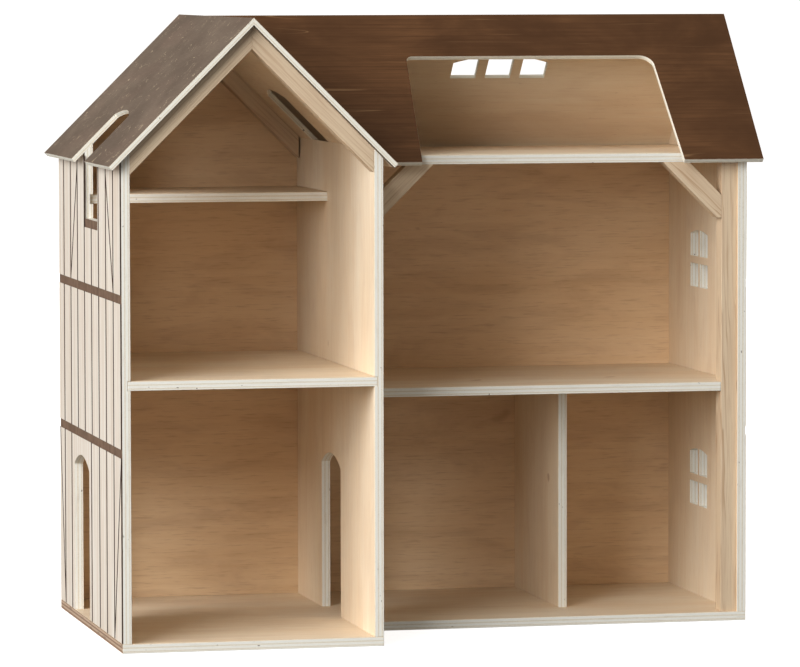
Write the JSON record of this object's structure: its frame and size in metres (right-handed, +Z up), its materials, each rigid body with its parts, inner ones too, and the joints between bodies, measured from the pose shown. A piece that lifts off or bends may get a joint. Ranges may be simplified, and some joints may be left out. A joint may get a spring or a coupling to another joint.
{
  "type": "dollhouse",
  "caption": "Open-fronted plywood dollhouse: a gable wing beside a set-back main wing, housed floors, arched doorways, stained steep roofs with cut-outs, pine framing.",
  "frame": {"origin": "middle of the overall box's underside, on the base board's bottom face", "axes": "+X to the viewer's right along the main ridge, +Y from the open front to the back, +Z up"},
  "size_m": [0.674, 0.396, 0.6021],
  "materials": {
    "birch_ply": "bare light plywood, fine sanded, faces warm beige, edges pale with thin glue lines",
    "scored_ply": "pale whitewashed plywood with burnt-brown scored lines and bands on its outer face",
    "pine": "bare planed pine strip with visible long grain",
    "taupe_stain": "thin plywood, upper face stained matt greyish brown, edges left pale",
    "brown_stain": "thin plywood, outer face stained matt dark brown with the grain showing, edges and inner face left bare"
  },
  "bodies": {
    "root": {"base_board": "birch_ply", "left_wall": "scored_ply", "middle_wall": "birch_ply", "right_wall": "scored_ply", "wing_back": "birch_ply", "main_back": "birch_ply", "wing_floor": "birch_ply", "loft_shelf": "birch_ply", "main_floor": "birch_ply", "attic_floor": "birch_ply", "partition": "birch_ply", "gable_roof_left": "taupe_stain", "gable_roof_right": "taupe_stain", "main_roof_front": "brown_stain", "main_roof_back": "brown_stain", "front_rafter_left": "pine", "front_rafter_right": "pine", "back_rafter_left": "pine", "back_rafter_right": "pine", "left_post": "pine", "right_post": "pine", "left_brace": "pine", "right_brace": "pine"}
  },
  "joints": []
}
